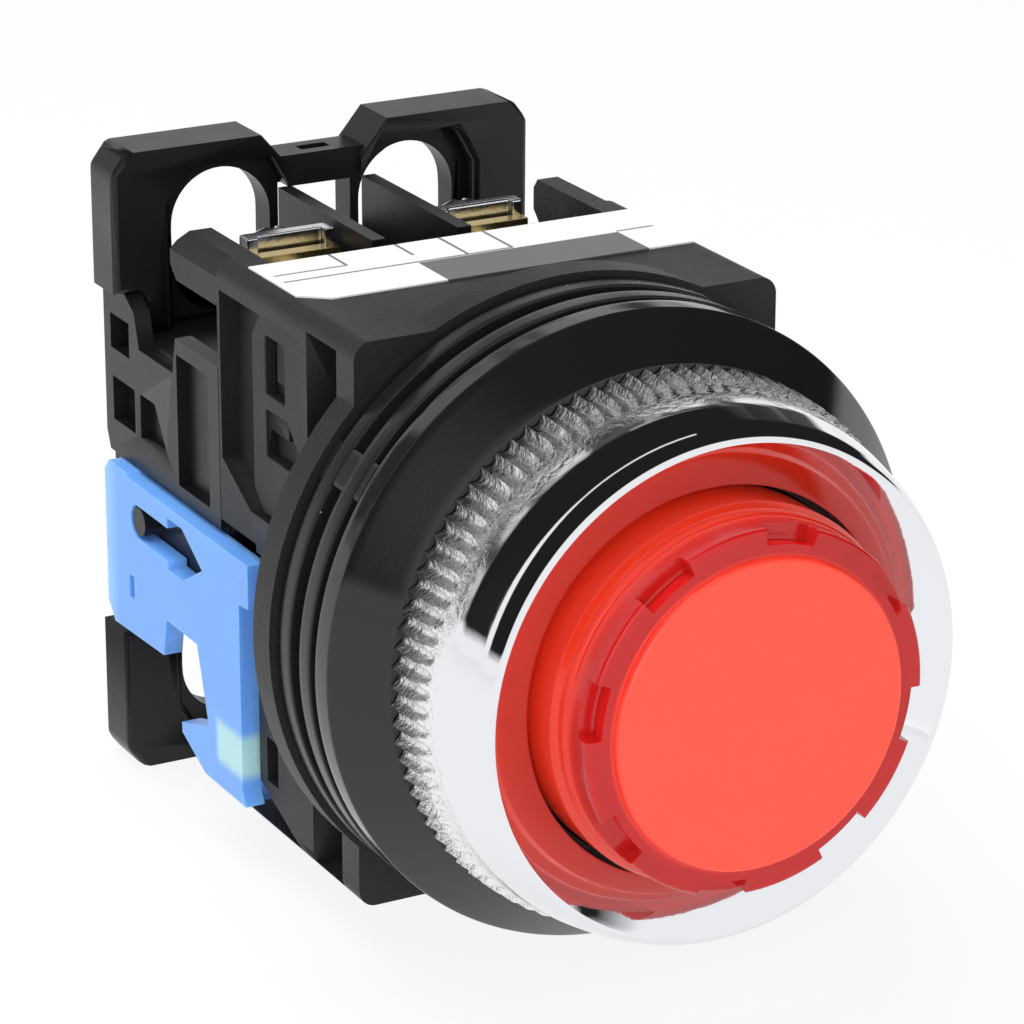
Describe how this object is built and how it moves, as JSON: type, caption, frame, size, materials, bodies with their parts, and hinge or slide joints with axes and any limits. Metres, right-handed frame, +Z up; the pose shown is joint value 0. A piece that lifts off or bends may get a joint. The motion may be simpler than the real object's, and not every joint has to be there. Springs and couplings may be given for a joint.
{
  "type": "industrial push button",
  "caption": "Illuminated push button with an extended red lens, a knurled chrome ring, spacer rings for a 30 mm panel hole and a screw-terminal contact block with a blue lock lever.",
  "frame": {"origin": "on the button's axis, where the rear of the bezel's gasket cone meets its rim, at the front of the panel stack", "axes": "+Z up as mounted, the button faces -Y, +X is to the right seen from the front; pressing moves the button along +Y"},
  "size_m": [0.0456, 0.0676, 0.0485],
  "materials": {
    "red_lens": "translucent red moulded plastic, satin",
    "white_diffuser": "opal white moulded plastic",
    "black_plastic": "black moulded plastic, fine matt texture",
    "black_rubber": "black rubber, satin",
    "chrome": "chromed zinc casting, polished, rough in the knurl",
    "blue_plastic": "translucent blue moulded plastic",
    "label": "white printed foil label",
    "brass": "yellow chromated brass",
    "zinc_steel": "zinc plated steel",
    "spring_steel": "drawn spring wire",
    "lamp_glass": "clear glass",
    "silver": "silver contact alloy",
    "cream_plastic": "natural moulded plastic"
  },
  "bodies": {
    "housing": {"clamp_washer_bottom_left": "zinc_steel", "clamp_washer_bottom_right": "zinc_steel", "clamp_washer_top_left": "zinc_steel", "clamp_washer_top_right": "zinc_steel", "contact_case": "black_plastic", "contact_spring": "spring_steel", "contact_terminal_bottom": "brass", "contact_terminal_top": "brass", "fixed_contact_bottom": "silver", "fixed_contact_top": "silver", "lamp_base": "zinc_steel", "lamp_contact": "brass", "lamp_globe": "lamp_glass", "lamp_socket": "cream_plastic", "lamp_strip_bottom": "brass", "lamp_strip_top": "brass", "lamp_terminal_bottom": "brass", "lamp_terminal_top": "brass", "latch_plate_left": "black_plastic", "latch_plate_right": "black_plastic", "operator_housing": "black_plastic", "plunger_seal": "black_rubber", "rating_label": "label", "return_spring": "spring_steel", "spacer_ring_front": "black_plastic", "spacer_ring_rear": "black_plastic", "terminal_guard_bottom": "black_plastic", "terminal_guard_top": "black_plastic", "terminal_screw_bottom_left": "zinc_steel", "terminal_screw_bottom_right": "zinc_steel", "terminal_screw_top_left": "zinc_steel", "terminal_screw_top_right": "zinc_steel"},
    "button": {"lens_cap": "red_lens", "light_diffuser": "white_diffuser", "lens_holder": "black_plastic"},
    "contact_carrier": {"contact_plunger": "cream_plastic", "moving_contact": "brass"},
    "lever": {"lock_lever": "blue_plastic"},
    "gasket": {"panel_gasket": "black_rubber"},
    "bezel": {"bezel_ring": "chrome"}
  },
  "joints": [
    {"name": "button_press", "type": "slide", "parent": "housing", "child": "button", "axis": [0, 1, 0], "range_m": [0, 0.004], "stiffness_N_per_m": 450, "springref_m": -0.006, "deforming": ["return_spring"]},
    {"name": "contact_travel", "type": "slide", "parent": "housing", "child": "contact_carrier", "axis": [0, 1, 0], "range_m": [0, 0.004], "deforming": ["contact_spring"]},
    {"name": "lever_slide", "type": "slide", "parent": "housing", "child": "lever", "axis": [0, 1, 0], "range_m": [0, 0.003]},
    {"name": "gasket_advance", "type": "slide", "parent": "housing", "child": "gasket", "axis": [0, -1, 0], "range_m": [0, 0.003]},
    {"name": "bezel_turn", "type": "hinge", "parent": "gasket", "child": "bezel", "pos_m": [0, 0, 0], "axis": [0, -1, 0], "range_deg": [0, 720]}
  ],
  "couplings": [
    {"joint": "contact_travel", "follows": "button_press", "ratio": 1},
    {"joint": "gasket_advance", "follows": "bezel_turn", "m_per_rad": 0.00023873}
  ]
}
